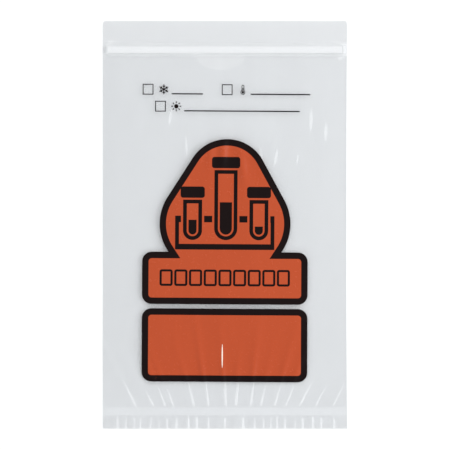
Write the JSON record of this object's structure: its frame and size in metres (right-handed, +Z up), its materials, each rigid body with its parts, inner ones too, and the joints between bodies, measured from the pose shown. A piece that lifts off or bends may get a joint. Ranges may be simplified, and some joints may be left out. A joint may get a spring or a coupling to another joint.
{
  "type": "specimen transport bag",
  "caption": "Flat clear film pouch with a press-to-close zip across the top, an open paper pouch behind, a welded bottom seam with a short loose skirt, and printed front panels.",
  "frame": {"origin": "centre of the resting face, at the middle of the bag's width and length", "axes": "+X across the width, to the right seen from the printed front; +Y along the length, towards the mouth; +Z up out of the printed front"},
  "size_m": [0.1524, 0.254, 0.0052],
  "materials": {
    "clear_film": "clear low-density polyethylene film, glossy with a slight haze",
    "zip_plastic": "milky clear extruded polyethylene",
    "orange_ink": "opaque orange-red printed ink",
    "black_ink": "opaque black printed ink"
  },
  "bodies": {
    "root": {"front_wall": "clear_film", "back_wall": "clear_film", "document_pouch_wall": "clear_film", "zip_rib_track": "zip_plastic", "zip_groove_track": "zip_plastic"}
  },
  "joints": []
}
